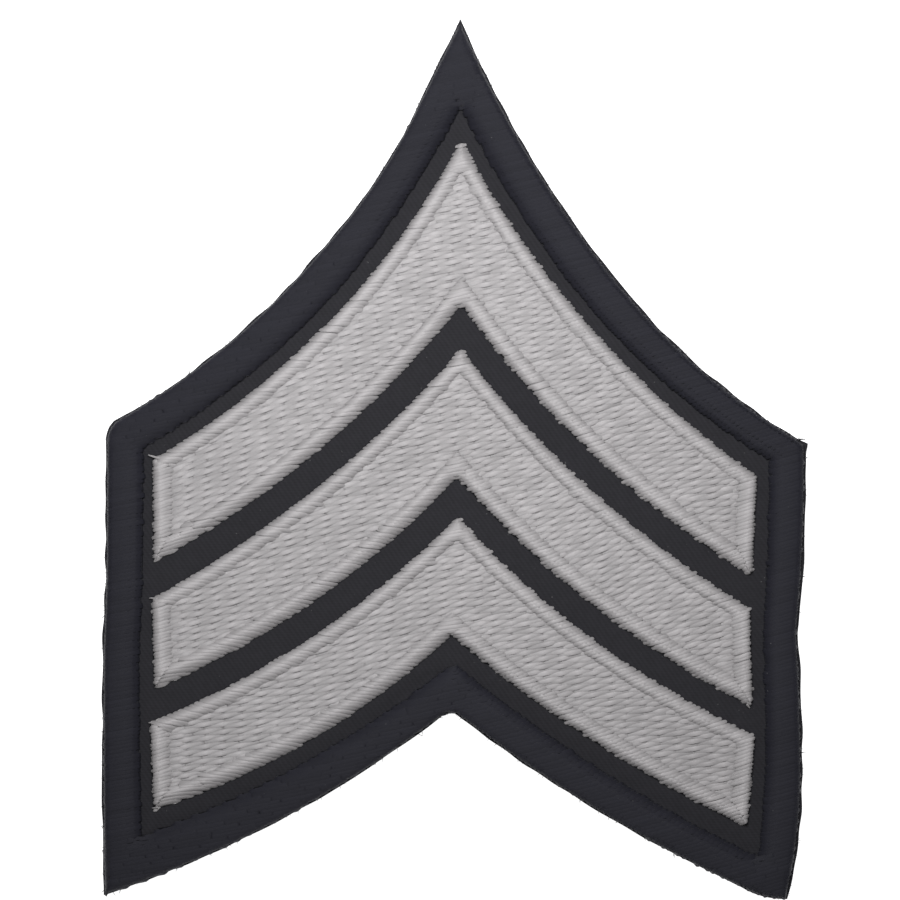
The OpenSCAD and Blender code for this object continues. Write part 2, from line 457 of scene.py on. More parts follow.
def tubes_part(ring, shares, length, own, arch, body):
    """Closed tubes from their rings of points: tubes by stations by points round it by x, y, z.

    Quads join neighbouring rings, and two more close each end. The thread's map has the length
    along a tube and the share round it, and the baking map has the same two in the tube's cell.
    """
    count, stations = ring.shape[:2]
    i, j = np.meshgrid(np.arange(stations - 1), np.arange(AROUND), indexing="ij")
    i, j = i.ravel(), j.ravel()
    this, beyond, after = i * AROUND, (i + 1) * AROUND, (j + 1) % AROUND
    quad = np.stack([this + j, beyond + j, beyond + after, this + after], axis=1)
    cap = np.array([[0, 1, 2, 3], [3, 4, 5, 0]])
    quad = np.concatenate([quad, cap, (stations - 1) * AROUND + cap[:, ::-1]])
    offset = (np.arange(count) * stations * AROUND)[:, None, None]

    u = np.stack([shares[i], shares[i + 1], shares[i + 1], shares[i]], axis=1)
    w = np.stack([j, j, j + 1, j + 1], axis=1) / AROUND
    u = np.concatenate([u, np.zeros((2, 4)), np.ones((2, 4))])
    w = np.concatenate([w, cap / AROUND, cap[:, ::-1] / AROUND])
    corner = np.array([0.0, 0.0, CAP_WIDTH, CAP_WIDTH])
    nudge = np.where(np.arange(len(u))[:, None] < len(i), 0.0, np.where(u > 0.5, corner, -corner))
    columns = max(1, int(math.sqrt(count / CELL_SHAPE)))
    lines = math.ceil(count / columns)
    cell_x = (np.arange(count) % columns)[:, None, None]
    cell_y = (np.arange(count) // columns)[:, None, None]
    used = 1 - 2 * CELL_EDGE
    x_share = (cell_x + CELL_EDGE + used * u + nudge) / columns
    y_share = (cell_y + CELL_EDGE + used * w[None]) / lines
    thread = np.stack(np.broadcast_arrays((u + nudge) * length[:, None, None], w[None]), axis=-1)
    bake = np.stack([x_share, BASE_SHARE + (1 - BASE_SHARE) * y_share], axis=-1)
    return {
        "points": ring.reshape(-1, 3),
        "quads": (quad[None] + offset).reshape(-1, 4),
        "fans": np.zeros((0, 3), int),
        "thread": [thread.reshape(-1, 2), np.zeros((0, 2))],
        "bake": [bake.reshape(-1, 2), np.zeros((0, 2))],
        "own": np.repeat(own, stations * AROUND),
        "arch": arch.ravel(),
        "body": np.repeat(np.broadcast_to(body, (count, stations)).ravel(), AROUND),
    }


def strand_part(stitches, rows, base, shape, rng):
    """Closed tubes, one for each stitch.

    Stations stand at given shares of a stitch. Its middle line follows its row. A point of the
    section stands at base(x, y) - dive (1 - e) + rise m + its part of an ellipse, flatter below,
    where e goes from 0 at a needle hole to 1 over the tip's length, as a sine to the tip's power,
    and m = exp(-(d / rise length)^2) with d from the stitch's middle. Half width and height are
    tip + (body - tip) e. Sections are sheared along the run by the lean of the edge they meet.
    """
    a, b, v, lean_a, lean_b, dive_a, dive_b = (s[:, None] for s in stitches)
    t = np.array(shape["stations"])[None, :]
    own = rng.random((len(a), 6))[:, :, None] - 0.5
    wander, lifted, swell, tone, tilt, proud = np.moveaxis(own, 1, 0)
    v = v + rng.normal(0, shape["row_jitter"], v.shape)
    a = a + rng.normal(0, shape["end_jitter"], a.shape) - shape["overlap"]
    b = b + rng.normal(0, shape["end_jitter"], b.shape) + shape["overlap"]
    length = b - a
    to_end = np.minimum(t, 1 - t) * length
    tip = np.minimum(shape["tip_length"], TIP_SHARE * length)
    end = np.sin(np.clip(to_end / tip, 0, 1) * np.pi / 2) ** TIP_POWER
    middle = np.exp(-(((t - 0.5) * length / shape["rise_length"]) ** 2))
    middle = middle * np.clip(length / shape["full_length"], LEAST_RISE, 1)
    x = a + length * t
    tilted = shape["tilt"] * tilt * (2 * t - 1)
    y = v + rows.climb(x) + shape["wander"] * wander * np.sin(np.pi * t) + tilted
    slope = rows.slope(x)
    run = np.sqrt(1 + slope**2)
    side = np.stack([-slope / run, 1 / run], axis=-1)
    lift = shape["rise"] * middle * (1 + proud) - np.where(t < 0.5, dive_a, dive_b) * (1 - end)
    lift = lift + shape["lift_jitter"] * lifted * end
    half = shape["tip_half"] + (shape["half"] - shape["tip_half"]) * end
    half = half * (1 + shape["size_jitter"] * swell)
    tall = shape["tip_tall"] + (shape["tall"] - shape["tip_tall"]) * end
    sine, cosine = np.sin(AROUND_ANGLES), np.cos(AROUND_ANGLES)
    cosine = np.where(cosine < 0, cosine * UNDERSIDE, cosine)
    fade = np.clip(1 - to_end / LEAN_REACH, 0, 1)
    lean = np.clip(np.where(t < 0.5, lean_a, lean_b), -MOST_LEAN, MOST_LEAN)
    skew = lean * fade * np.where(lean > 0, *shape["skew"])
    across = half[:, :, None] * sine
    ring = np.stack([x, y], axis=-1)[:, :, None, :] + side[:, :, None, :] * across[..., None]
    ring[..., 0] += across * skew[:, :, None]
    ground, crest = (each.reshape(across.shape) for each in base(ring.reshape(-1, 2)))
    # Arch: nearness to the stitch's middle or the band's crest, where the thread's colour is painted
    # lighter as a highlight
    arch = np.maximum(middle[:, :, None] * shape["arch_of_middle"], crest)
    z = ground + lift[:, :, None] + tall[:, :, None] * cosine
    ring = np.concatenate([ring, z[..., None]], axis=-1)
    return tubes_part(ring, t[0], length[:, 0], tone[:, 0] + 0.5, arch, end)


def fibres_part(starts, angles, lengths, rises, bends, radii):
    """Loose fibres: each leaves its start at its angle, climbs by its rise and bends aside.

    At a share u the middle line is start + length u along, bend u^2 aside and rise u up, and the
    radius is that of the fibre times sqrt(1 - taper u).
    """
    u = FIBRE_STATIONS[None, :, None]
    along = np.stack([np.cos(angles), np.sin(angles)], axis=-1)[:, None, :]
    aside = np.stack([-along[..., 1], along[..., 0]], axis=-1)
    length, rise, bend, radius = (each[:, None, None] for each in (lengths, rises, bends, radii))
    middle = starts[:, None, :2] + along * length * u + aside * bend * u**2
    thin = radius * np.sqrt(1 - FIBRE_TAPER * u)
    sine, cosine = np.sin(AROUND_ANGLES), np.cos(AROUND_ANGLES)
    xy = middle[:, :, None, :] + aside[:, :, None, :] * (thin * sine)[..., None]
    z = starts[:, None, 2:] + rise * u + thin * cosine
    ring = np.concatenate([xy, z[..., None]], axis=-1)
    own, arch = np.full(len(starts), 0.5), np.full(ring.shape[:3], 0.5)
    return tubes_part(ring, FIBRE_STATIONS, lengths, own, arch, 1.0)


def swept_part(stations, closed):
    """A closed section carried along a path, as a grid: stations by points of the section.

    Where the path is open, each end is closed by a fan round the middle of its section. Faces
    are turned where the volume inside them, a sum of a . (b x c), comes out negative.
    """
    count, round_it = stations.shape[:2]
    spans = count if closed else count - 1
    i, j = np.meshgrid(np.arange(spans), np.arange(round_it), indexing="ij")
    i, j = i.ravel(), j.ravel()
    this, beyond, after = i * round_it, (i + 1) % count * round_it, (j + 1) % round_it
    quads = np.stack([this + j, beyond + j, beyond + after, this + after], axis=1)
    points = stations.reshape(-1, 3)
    quad_u = np.stack([i, i + 1, i + 1, i], axis=1) / spans
    quad_v = np.stack([j, j, j + 1, j + 1], axis=1) / round_it
    fans = np.zeros((0, 3), int)
    fan_u = fan_v = np.zeros((0, 3))
    if not closed:
        poles = stations[[0, -1]].mean(axis=1)
        points = np.concatenate([points, poles])
        k = np.arange(round_it)
        k2 = (k + 1) % round_it
        end = (count - 1) * round_it
        pole = count * round_it
        fans = np.concatenate(
            [
                np.stack([np.full(round_it, pole), k, k2], axis=1),
                np.stack([np.full(round_it, pole + 1), end + k2, end + k], axis=1),
            ]
        )
        fan_u = np.repeat([[0.0, 0.0, 0.0], [1.0, 1.0, 1.0]], round_it, axis=0)
        fan_v = np.tile(np.stack([k + 0.5, k, k + 1], axis=1) / round_it, (2, 1))
    a, b, c, d = (points[quads[:, corner]] for corner in range(4))
    volume = (a * np.cross(b, c)).sum() + (a * np.cross(c, d)).sum()
    if volume < 0:
        quads, fans = quads[:, ::-1], fans[:, ::-1]
        quad_u, quad_v = quad_u[:, ::-1], quad_v[:, ::-1]
        fan_u, fan_v = fan_u[:, ::-1], fan_v[:, ::-1]
    maps = [np.stack([quad_u, quad_v], axis=-1), np.stack([fan_u, fan_v], axis=-1)]
    maps = [each.reshape(-1, 2) for each in maps]
    used = np.array([1.0, BASE_SHARE]) - 2 * BASE_EDGE
    return {
        "points": points,
        "quads": quads,
        "fans": fans,
        "thread": [each * [BASE_LENGTH, 1.0] for each in maps],
        "bake": [BASE_EDGE + used * each for each in maps],
        **plain_values(len(points)),
    }


def make_piece(name, parts, material, node):
    """Joins parts, given in millimetres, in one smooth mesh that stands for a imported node."""
    offsets = np.cumsum([0] + [len(p["points"]) for p in parts])
    points = np.concatenate([p["points"] for p in parts]) * MM
    quads = np.concatenate([p["quads"] + o for p, o in zip(parts, offsets)])
    fans = np.concatenate([p["fans"] + o for p, o in zip(parts, offsets)])
    mesh = bpy.data.meshes.new(name)
    mesh.from_pydata(points.tolist(), [], quads.tolist() + fans.tolist())
    for map_name, key in (("ThreadMap", "thread"), ("OFBake", "bake")):
        corners = np.concatenate([p[key][0] for p in parts] + [p[key][1] for p in parts])
        layer = mesh.uv_layers.new(name=map_name)
        layer.data.foreach_set("uv", corners.astype(np.float32).ravel())
    for attribute, key in (("strand", "own"), ("arch", "arch"), ("body", "body")):
        values = mesh.attributes.new(attribute, "FLOAT", "POINT")
        values.data.foreach_set("value", np.concatenate([p[key] for p in parts]).astype(np.float32))
    mesh.polygons.foreach_set("use_smooth", np.ones(len(mesh.polygons), bool))
    mesh.materials.append(material)
    mesh.update()
    piece = bpy.data.objects.new(name, mesh)
    bpy.context.scene.collection.objects.link(piece)
    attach(piece, "root")
    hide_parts(node)
    return piece


# Shader groups, built once and placed in each material with its own values

TURN = 2 * math.pi

# Twisted thread: its unevenness along a strand, for each mm, and across it, for each filament
UNEVEN_ALONG = 2.2
UNEVEN_ACROSS = 0.9
STRANDS_APART = 37.0  # how far apart two strands' unevenness is read
FILAMENT_HEIGHT = 0.35
UNEVEN_HEIGHT = 0.5
# By this tone the filaments' ridges are painted lighter and their hollows darker, as painted shade
FILAMENT_TONE = 0.03
# Above this arch value a strand is painted lighter, as a highlight, and below it darker, as shade
PLAIN_ARCH = 0.35  # arch value at which a strand has its plain tone

# Twill: how fine and how far, in metres, its threads wander, and its slant, ribs and tones
WANDER_SCALE = 120.0
WANDER_SIZE = 0.0004
RIB_SLANT = 0.7
RIB_HEIGHT = 0.35
CROSS_HEIGHT = 0.25
FUZZ_SCALE = 900.0
FUZZ_TONE = 0.5
# The weave's tone follows its height: ribs are painted lighter and the grooves between them darker, as
# painted shade
WEAVE_TONE = (0.25, 0.75)  # share of the height, and what is added

# Specks and rub: scales of their noises
SPECK_SCALE = 2600.0
SPECK_PATCHES = 160.0
SPECK_PATCH_SHARE = 0.12
SPECK_LIMIT = (-0.2, 0.86)  # share of the specks' amount, and what is added
SPECK_EDGE = 14.0  # how sharp a speck's edge is
RUB_SCALE = 60.0


def new_group(name, inputs, outputs):
    """A shader node group with named sockets; inputs are (name, type, value), outputs (name, type)."""
    group = bpy.data.node_groups.new(name, "ShaderNodeTree")
    for label, kind, value in inputs:
        socket = group.interface.new_socket(name=label, in_out="INPUT", socket_type=kind)
        if value is not None:
            socket.default_value = value
    for label, kind in outputs:
        group.interface.new_socket(name=label, in_out="OUTPUT", socket_type=kind)
    return group, group.nodes.new("NodeGroupInput"), group.nodes.new("NodeGroupOutput")


def math_node(tree, operation, *values, clamp=False):
    """A Math node with its inputs set to numbers or linked to sockets; gives its output."""
    node = tree.nodes.new("ShaderNodeMath")
    node.operation = operation
    node.use_clamp = clamp
    for socket, value in zip(node.inputs, values):
        if isinstance(value, (int, float)):
            socket.default_value = value
        else:
            tree.links.new(value, socket)
    return node.outputs[0]


def noise_node(tree, vector, scale, detail=2.0, rough=0.5):
    """A Noise Texture on a vector; gives its value."""
    node = tree.nodes.new("ShaderNodeTexNoise")
    node.inputs["Scale"].default_value = scale
    node.inputs["Detail"].default_value = detail
    node.inputs["Roughness"].default_value = rough
    tree.links.new(vector, node.inputs["Vector"])
    return node.outputs["Fac"]


def twisted_thread_group():
    """Filaments that wind round a strand, from its own map: length along it in mm, share round it."""
    group, inside, out = new_group(
        "Twisted thread",
        [
            ("Thread Map", "NodeSocketVector", None),
            ("Strand", "NodeSocketFloat", 0.5),
            ("Filaments", "NodeSocketFloat", 10.0),
            ("Turns per mm", "NodeSocketFloat", 0.6),
            ("Spread", "NodeSocketFloat", 0.12),
            ("Arch", "NodeSocketFloat", 0.0),
            ("Arch Tone", "NodeSocketFloat", 0.0),
        ],
        [("Tone", "NodeSocketFloat"), ("Height", "NodeSocketFloat")],
    )
    parts = group.nodes.new("ShaderNodeSeparateXYZ")
    group.links.new(inside.outputs["Thread Map"], parts.inputs[0])
    along, around = parts.outputs[0], parts.outputs[1]
    strand, spread = inside.outputs["Strand"], inside.outputs["Spread"]
    winding = math_node(group, "MULTIPLY_ADD", along, inside.outputs["Turns per mm"], around)
    winding = math_node(group, "MULTIPLY_ADD", winding, inside.outputs["Filaments"], strand)
    wave = math_node(group, "SINE", math_node(group, "MULTIPLY", winding, TURN))
    spot = group.nodes.new("ShaderNodeCombineXYZ")
    scales = (UNEVEN_ALONG, UNEVEN_ACROSS, STRANDS_APART)
    for value, scale, socket in zip((along, winding, strand), scales, spot.inputs):
        group.links.new(math_node(group, "MULTIPLY", value, scale), socket)
    uneven = noise_node(group, spot.outputs[0], 1.0, detail=3.0, rough=0.6)
    height = math_node(group, "MULTIPLY_ADD", wave, FILAMENT_HEIGHT, 0.5)
    height = math_node(group, "MULTIPLY_ADD", uneven, UNEVEN_HEIGHT, height)
    group.links.new(height, out.inputs["Height"])
    tone = math_node(group, "MULTIPLY_ADD", math_node(group, "SUBTRACT", strand, 0.5), spread, 1.0)
    tone = math_node(group, "MULTIPLY_ADD", math_node(group, "SUBTRACT", uneven, 0.5), spread, tone)
    # Painted shade: lighter on the filaments' ridges, darker in the hollows between them
    tone = math_node(group, "MULTIPLY_ADD", wave, FILAMENT_TONE, tone)
    # Painted highlight and shade: lighter where the strand arches, darker towards its needle holes, by
    # the arch amount given
    proud = math_node(group, "SUBTRACT", inside.outputs["Arch"], PLAIN_ARCH)
    tone = math_node(group, "MULTIPLY_ADD", proud, inside.outputs["Arch Tone"], tone)
    group.links.new(tone, out.inputs["Tone"])
    return group


def twill_group():
    """Diagonal ribs broken by crossing threads, on a place in metres."""
    group, inside, out = new_group(
        "Twill weave",
        [
            ("Place", "NodeSocketVector", None),
            ("Rib", "NodeSocketFloat", 0.0006),
            ("Thread", "NodeSocketFloat", 0.0003),
        ],
        [("Height", "NodeSocketFloat"), ("Tone", "NodeSocketFloat")],
    )
    bent = group.nodes.new("ShaderNodeVectorMath")
    bent.operation = "ADD"
    group.links.new(inside.outputs["Place"], bent.inputs[0])
    drift = group.nodes.new("ShaderNodeTexNoise")
    drift.inputs["Scale"].default_value = WANDER_SCALE
    group.links.new(inside.outputs["Place"], drift.inputs["Vector"])
    little = group.nodes.new("ShaderNodeVectorMath")
    little.operation = "SCALE"
    little.inputs["Scale"].default_value = WANDER_SIZE
    group.links.new(drift.outputs["Color"], little.inputs[0])
    group.links.new(little.outputs[0], bent.inputs[1])
    parts = group.nodes.new("ShaderNodeSeparateXYZ")
    group.links.new(bent.outputs[0], parts.inputs[0])
    slant = math_node(group, "MULTIPLY", parts.outputs[1], RIB_SLANT)
    slant = math_node(group, "ADD", parts.outputs[0], slant)
    rib = math_node(group, "DIVIDE", slant, inside.outputs["Rib"])
    rib = math_node(group, "SINE", math_node(group, "MULTIPLY", rib, TURN))
    thread = math_node(group, "DIVIDE", parts.outputs[1], inside.outputs["Thread"])
    thread = math_node(group, "SINE", math_node(group, "MULTIPLY", thread, TURN))
    both = math_node(group, "MULTIPLY", rib, RIB_HEIGHT)
    both = math_node(group, "MULTIPLY_ADD", thread, CROSS_HEIGHT, both)
    group.links.new(math_node(group, "ADD", both, 0.5), out.inputs["Height"])
    fuzz = noise_node(group, inside.outputs["Place"], FUZZ_SCALE, detail=4.0, rough=0.65)
    # Painted shade: the tone follows the height, lighter on the ribs and darker in the grooves between
    # them
    tone = math_node(group, "MULTIPLY_ADD", both, *WEAVE_TONE)
    tone = math_node(group, "MULTIPLY_ADD", fuzz, FUZZ_TONE, tone)
    group.links.new(tone, out.inputs["Tone"])
    return group


def dust_group():
    """Sparse pale specks and soft rubbed patches, on a place in metres."""
    group, inside, out = new_group(
        "Specks and rub",
        [
            ("Place", "NodeSocketVector", None),
            ("Speck Share", "NodeSocketFloat", 0.25),
            ("Rub", "NodeSocketFloat", 0.2),
        ],
        [("Specks", "NodeSocketFloat"), ("Rubbed", "NodeSocketFloat")],
    )
    place = inside.outputs["Place"]
    fine = noise_node(group, place, SPECK_SCALE, detail=1.0)
    wide = noise_node(group, place, SPECK_PATCHES)
    both = math_node(group, "MULTIPLY_ADD", wide, SPECK_PATCH_SHARE, fine)
    limit = math_node(group, "MULTIPLY_ADD", inside.outputs["Speck Share"], *SPECK_LIMIT)
    above = math_node(group, "SUBTRACT", both, limit)
    group.links.new(math_node(group, "MULTIPLY", above, SPECK_EDGE, clamp=True), out.inputs["Specks"])
    broad = math_node(group, "SUBTRACT", noise_node(group, place, RUB_SCALE, detail=3.0), 0.5)
    rubbed = math_node(group, "MULTIPLY_ADD", broad, inside.outputs["Rub"], 1.0)
    group.links.new(rubbed, out.inputs["Rubbed"])
    return group


TWISTED_THREAD = twisted_thread_group()
TWILL = twill_group()
DUST = dust_group()


def place_group(tree, group, **values):
    """A group node in a tree, its inputs named with spaces as underscores, as numbers or links."""
    node = tree.nodes.new("ShaderNodeGroup")
    node.node_tree = group
    for key, value in values.items():
        socket = node.inputs[key.replace("_", " ")]
        if isinstance(value, (int, float)):
            socket.default_value = value
        else:
            tree.links.new(value, socket)
    return node


def shaded(tree, colour, *tones):
    """The colour times each tone; gives the colour socket of the last Mix node."""
    last = None
    for tone in tones:
        grey = tree.nodes.new("ShaderNodeCombineColor")
        for channel in grey.inputs:
            tree.links.new(tone, channel)
        mix = tree.nodes.new("ShaderNodeMix")
        mix.data_type = "RGBA"
        mix.blend_type = "MULTIPLY"
        mix.inputs["Factor"].default_value = 1.0
        if last is None:
            mix.inputs["A"].default_value = (*colour, 1.0)
        else:
            tree.links.new(last, mix.inputs["A"])
        tree.links.new(grey.outputs[0], mix.inputs["B"])
        last = mix.outputs["Result"]
    return last


def specked(tree, colour, specks, share, grey):
    """The colour with grey specks laid over it by a share of their mask; gives its socket."""
    mix = tree.nodes.new("ShaderNodeMix")
    mix.data_type = "RGBA"
    tree.links.new(math_node(tree, "MULTIPLY", specks, share), mix.inputs["Factor"])
    tree.links.new(colour, mix.inputs["A"])
    mix.inputs["B"].default_value = (grey, grey, grey, 1.0)
    return mix.outputs["Result"]


def point_value(tree, name):
    """The value that a piece's points carry under this name; gives its socket."""
    node = tree.nodes.new("ShaderNodeAttribute")
    node.attribute_name = name
    return node.outputs["Fac"]


SHEEN_ROUGHNESS = 0.4


def new_material(name, specular, sheen, sheen_tint, roughness):
    """A material whose constant sockets are set; gives it, its tree, and its Principled BSDF."""
    material = bpy.data.materials.new(name)
    material.use_nodes = True
    tree = material.node_tree
    surface = tree.nodes["Principled BSDF"]
    surface.inputs["Specular IOR Level"].default_value = specular
    surface.inputs["Roughness"].default_value = roughness
    surface.inputs["Sheen Weight"].default_value = sheen
    surface.inputs["Sheen Roughness"].default_value = SHEEN_ROUGHNESS
    surface.inputs["Sheen Tint"].default_value = (*sheen_tint, 1.0)
    return material, tree, surface


def bumped(tree, surface, height, strength, distance):
    """Links a height to the surface's normal through a Bump node; distance in metres."""
    bump = tree.nodes.new("ShaderNodeBump")
    bump.inputs["Strength"].default_value = strength
    bump.inputs["Distance"].default_value = distance
    tree.links.new(height, bump.inputs["Height"])
    tree.links.new(bump.outputs[0], surface.inputs["Normal"])


THREAD_RUB = 0.15
THREAD_SPECKS = (0.35, 0.45)  # how strongly they show, and their grey
THREAD_ROUGHNESS_SPREAD = 0.15  # between the hollows and the ridges of the filaments
THREAD_GLOSS = (0.75, 0.25)  # how far highlights are stretched, and their turn
THREAD_BUMP = (0.5, 0.00004)  # strength, and height in metres


def thread_material(name, colour, spread, painted_arch_shading, roughness, specular, sheen, specks, painted_hole_shade):
    """Embroidery thread: twisted filaments, a tone of its own for each stitch, specks and rub.

    Near a needle hole the colour is darkened by a share, as painted shade, and where a stitch arches or
    its band has its crest it is painted lighter, as a highlight.
    """
    material, tree, surface = new_material(name, specular, sheen, (1.0, 1.0, 1.0), roughness)
    thread_map = tree.nodes.new("ShaderNodeUVMap")
    thread_map.uv_map = "ThreadMap"
    place = tree.nodes.new("ShaderNodeTexCoord").outputs["Object"]
    thread = place_group(
        tree, TWISTED_THREAD,
        Thread_Map=thread_map.outputs[0], Strand=point_value(tree, "strand"), Spread=spread,
        Arch=point_value(tree, "arch"), Arch_Tone=painted_arch_shading,
    )
    dust = place_group(tree, DUST, Place=place, Speck_Share=specks, Rub=THREAD_RUB)
    # Painted shade: the colour is darkened near each needle hole, by the share given
    shade_factor = math_node(tree, "MULTIPLY_ADD", point_value(tree, "body"), painted_hole_shade, 1 - painted_hole_shade)
    tone, rubbed, height = thread.outputs["Tone"], dust.outputs["Rubbed"], thread.outputs["Height"]
    thread_colour = shaded(tree, colour, tone, rubbed, shade_factor)
    thread_colour = specked(tree, thread_colour, dust.outputs["Specks"], *THREAD_SPECKS)
    tree.links.new(thread_colour, surface.inputs["Base Color"])
    smoothest = roughness - THREAD_ROUGHNESS_SPREAD / 2
    rough = math_node(tree, "MULTIPLY_ADD", height, THREAD_ROUGHNESS_SPREAD, smoothest)
    tree.links.new(rough, surface.inputs["Roughness"])
    surface.inputs["Anisotropic"].default_value = THREAD_GLOSS[0]
    surface.inputs["Anisotropic Rotation"].default_value = THREAD_GLOSS[1]
    tangent = tree.nodes.new("ShaderNodeTangent")
    tangent.direction_type = "UV_MAP"
    tangent.uv_map = "ThreadMap"
    tree.links.new(tangent.outputs[0], surface.inputs["Tangent"])
    bumped(tree, surface, height, *THREAD_BUMP)
    return material


CLOTH_SPECULAR = 0.3
CLOTH_SHEEN = 0.1
CLOTH_SHEEN_TINT = (0.8, 0.85, 1.0)
CLOTH_RUB = 0.2
CLOTH_SPECK_SHARE = 0.1
CLOTH_SPECKS = (0.25, 0.3)  # how strongly they show, and their grey
CLOTH_BUMP = (0.3, 0.00005)  # strength, and height in metres


def cloth_material(name, colour, roughness):
    """Black twill: ribs, fuzz, specks and rub."""
    material, tree, surface = new_material(
        name, CLOTH_SPECULAR, CLOTH_SHEEN, CLOTH_SHEEN_TINT, roughness
    )
    place = tree.nodes.new("ShaderNodeTexCoord").outputs["Object"]
    weave = place_group(tree, TWILL, Place=place)
    dust = place_group(tree, DUST, Place=place, Speck_Share=CLOTH_SPECK_SHARE, Rub=CLOTH_RUB)
    cloth_colour = shaded(tree, colour, weave.outputs["Tone"], dust.outputs["Rubbed"])
    cloth_colour = specked(tree, cloth_colour, dust.outputs["Specks"], *CLOTH_SPECKS)
    tree.links.new(cloth_colour, surface.inputs["Base Color"])
    bumped(tree, surface, weave.outputs["Height"], *CLOTH_BUMP)
    return material


silver_thread = thread_material(
    "Silver grey embroidery thread", (0.424, 0.407, 0.414), spread=0.18, painted_arch_shading=0.32,
    roughness=0.36, specular=0.6, sheen=0.25, specks=0.0, painted_hole_shade=0.0,
)
black_thread = thread_material(
    "Black embroidery thread", (0.0210, 0.0210, 0.0290), spread=0.15, painted_arch_shading=0.0,
    roughness=0.58, specular=0.20, sheen=0.05, specks=0.02, painted_hole_shade=0.40,
)
ground_twill = cloth_material("Black twill", (0.0216, 0.0211, 0.0255), roughness=0.85)


# The ground cloth

EDGE_WOBBLE = 0.08  # how far the hand-cut edge strays, as a sum of waves round it
EDGE_WAVES = np.arange(9, 80, 7)
# How far it stands out of the drawn edge, along each edge in table order
EDGE_OUT = [
    0.20, 0.14, 0.19, 0.24, 0.26, 0.14, 0.14, 0.14,
    0.17, 0.14, 0.14, 0.12, 0.10, 0.10, 0.09, 0.14,
]
EDGE_EASED = 9  # steps over which one edge's amount passes into the next
SHOULDER = 2  # number of the right shoulder's corner
SHOULDER_SPIKE = 0.35  # how far it is drawn out
SPIKE_REACH = 0.8
VALLEY_AT = 4.2  # distance from the cut edge to the line where the border pulls the cloth down
VALLEY_WIDE = 0.9
VALLEY_DEEP = 0.13
FRAYED = 220  # frayed fibres round the cut edge
FRAYED_HEIGHTS = (0.25, 0.85)  # over the plain back
FRAYED_LENGTHS = (0.25, 0.7)
FRAYED_RADII = (0.02, 0.045)
FRAYED_TURN = 0.7  # spread of their turn from straight out, in radians
FRAYED_RISE = 0.08  # spread of their rise
FRAYED_BEND = 0.2  # spread of their bend aside
CLOTH_RINGS = 46
CLOTH_CROWDING = 1.4  # how much closer the rings lie towards the cut edge
CLOTH_CENTRE = (0.0, -10.0)  # where its rays start
CLOTH_STEP = 0.5  # length of the straight steps round it
CUT_SHARE = 0.9985  # share of a ray where the cut edge's rounding begins
CUT_HEIGHTS = (0.72, 0.3)  # of its two middle rings, as shares of the thickness
BACK_SHARES = (CUT_SHARE, 0.6, 0.2)  # of the back's rings; one more is under the face's smallest
MAP_SHARE = 0.96  # of its half of the baking map that each side of the cloth takes up


def drawn_edge():
    """The drawn cut edge with its shoulder drawn out, and how far it stands out at each point.

    The shoulder's spike is its height times exp(-(d / reach)^2), with d the distance from it.
    """
    corners = placed(OUTER)
    steps = steps_of(corners, CLOTH_STEP)
    edge = loop_of(corners, steps)
    to_shoulder = np.linalg.norm(edge - edge[steps[:SHOULDER].sum()], axis=1)
    edge[:, 0] += SHOULDER_SPIKE * np.exp(-((to_shoulder / SPIKE_REACH) ** 2))
    out = np.repeat(EDGE_OUT, steps)
    around = np.arange(-(EDGE_EASED // 2), EDGE_EASED // 2 + 1)
    return edge, out[(np.arange(len(out))[:, None] + around) % len(out)].mean(axis=1)


def cloth_part(edge, out):
    """A disc-like sheet: rays from a middle point to the cut edge, at shares of their length.

    The shares go over the face, down the rounded cut edge, and back along the plain back. The
    face sinks along the border by deep exp(-((d - at) / wide)^2), with d the distance from the edge.
    """
    rays = edge - CLOTH_CENTRE
    rays = rays * (1 + out / np.linalg.norm(rays, axis=1))[:, None]
    share = 1 - (1 - np.linspace(0, 1, CLOTH_RINGS)[1:]) ** CLOTH_CROWDING
    face = np.stack([share, np.full(len(share), CLOTH_TOP)], axis=1)
    face[-1, 0] = CUT_SHARE
    rim = [[1.0, CLOTH_TOP * height] for height in CUT_HEIGHTS]
    back = [[each, 0.0] for each in (*BACK_SHARES, share[0])]
    section = np.concatenate([face, rim, back])
    xy = np.array(CLOTH_CENTRE) + section[None, :, 0, None] * rays[:, None, :]
    z = np.broadcast_to(section[None, :, 1, None], (*xy.shape[:2], 1))
    grid = np.concatenate([xy, z], axis=2)

    count, rings = grid.shape[:2]
    i, k = np.meshgrid(np.arange(count), np.arange(rings - 1), indexing="ij")
    here, there = i.ravel() * rings + k.ravel(), (i.ravel() + 1) % count * rings + k.ravel()
    quads = np.stack([there, there + 1, here + 1, here], axis=1)
    ray, after = np.arange(count) * rings, (np.arange(count) + 1) % count * rings
    middle = np.full(count, count * rings)
    last = rings - 1
    fans = np.concatenate(
        [
            np.stack([after, ray, middle], axis=1),
            np.stack([ray + last, after + last, middle + 1], axis=1),
        ]
    )
    points = grid.reshape(-1, 3)
    on_face = points[:, 2] >= CLOTH_TOP
    inwards = distance_to(points[on_face, :2], edge)[0]
    points[on_face, 2] -= VALLEY_DEEP * np.exp(-(((inwards - VALLEY_AT) / VALLEY_WIDE) ** 2))
    points = np.concatenate([points, [[*CLOTH_CENTRE, CLOTH_TOP], [*CLOTH_CENTRE, 0.0]]])

    def flat_map(faces):
        size = (cloth_high - cloth_low)[:2]
        uv = (points[faces][..., :2] - cloth_low[:2]) / size * MAP_SHARE + (1 - MAP_SHARE) / 2
        below = points[faces][..., 2].mean(axis=1) < CLOTH_TOP / 2
        uv[..., 0] = uv[..., 0] / 2 + np.where(below, 0.5, 0.0)[:, None]
        return uv.reshape(-1, 2)

    return {
        "points": points,
        "quads": quads,
        "fans": fans,
        "thread": [points[faces][..., :2].reshape(-1, 2) for faces in (quads, fans)],
        "bake": [flat_map(quads), flat_map(fans)],
        **plain_values(len(points)),
    }


